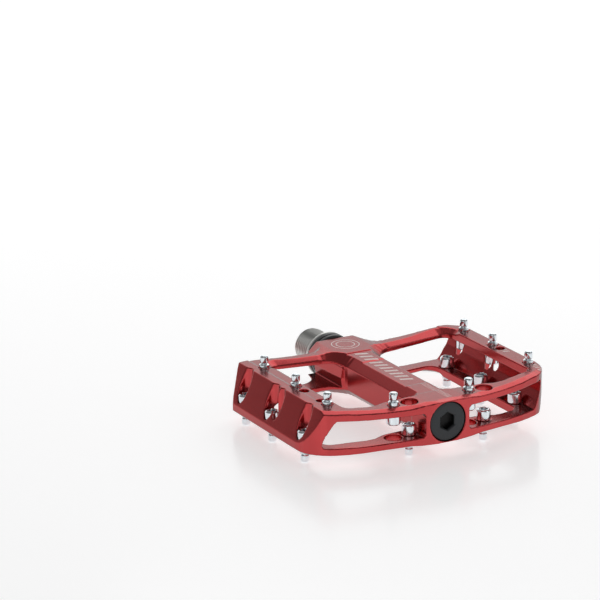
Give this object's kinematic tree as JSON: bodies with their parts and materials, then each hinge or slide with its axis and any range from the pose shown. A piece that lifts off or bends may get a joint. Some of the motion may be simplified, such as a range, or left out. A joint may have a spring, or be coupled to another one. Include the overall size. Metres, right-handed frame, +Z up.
{
  "type": "bicycle flat pedal",
  "caption": "Right-hand flat bicycle pedal: machined cage with traction pins on both faces, spinning on a threaded axle.",
  "frame": {"origin": "centre of the footprint, on the ground plane under the lower pins' tips", "axes": "+X along the axle pointing outboard, away from the crank; +Z up through the upper tread; +Y across the tread"},
  "size_m": [0.1038, 0.105, 0.0266],
  "materials": {
    "body": "red anodised, satin",
    "pins": "bright zinc-plated steel",
    "axle": "satin, turned",
    "hardware": "zinc-plated",
    "bearing": "ground steel",
    "cap": "black anodised, satin",
    "rubber": "matt black",
    "bushing": "self-lubricating polymer"
  },
  "bodies": {
    "axle_assembly": {"axle": "axle", "axle_washer": "hardware", "lock_nut": "hardware", "bearing_1_inner_ring": "bearing", "bearing_2_inner_ring": "bearing"},
    "cage": {"pedal_body": "body", "end_cap": "cap", "cap_o_ring": "rubber", "inboard_seal": "rubber", "plain_bushing": "bushing", "bearing_1_outer_ring": "bearing", "bearing_2_outer_ring": "bearing", "pin_top_rail_a_1": "pins", "pin_top_rail_a_2": "pins", "pin_top_rail_a_3": "pins", "pin_top_rail_b_1": "pins", "pin_top_rail_b_2": "pins", "pin_top_rail_b_3": "pins", "pin_top_end_1": "pins", "pin_top_end_2": "pins", "pin_bottom_rail_a_1": "pins", "pin_bottom_rail_a_2": "pins", "pin_bottom_rail_a_3": "pins", "pin_bottom_rail_b_1": "pins", "pin_bottom_rail_b_2": "pins", "pin_bottom_rail_b_3": "pins", "pin_bottom_end_1": "pins", "pin_bottom_end_2": "pins"},
    "ball_carriers": {"bearing_1_balls": "bearing", "bearing_2_balls": "bearing"}
  },
  "joints": [
    {"name": "pedal_spin", "type": "hinge", "parent": "axle_assembly", "child": "cage", "pos_m": [0, 0, 0.0133], "axis": [1, 0, 0], "continuous": true},
    {"name": "balls_orbit", "type": "hinge", "parent": "axle_assembly", "child": "ball_carriers", "pos_m": [0, 0, 0.0133], "axis": [1, 0, 0], "continuous": true}
  ],
  "couplings": [
    {"joint": "balls_orbit", "follows": "pedal_spin", "ratio": 0.586}
  ]
}
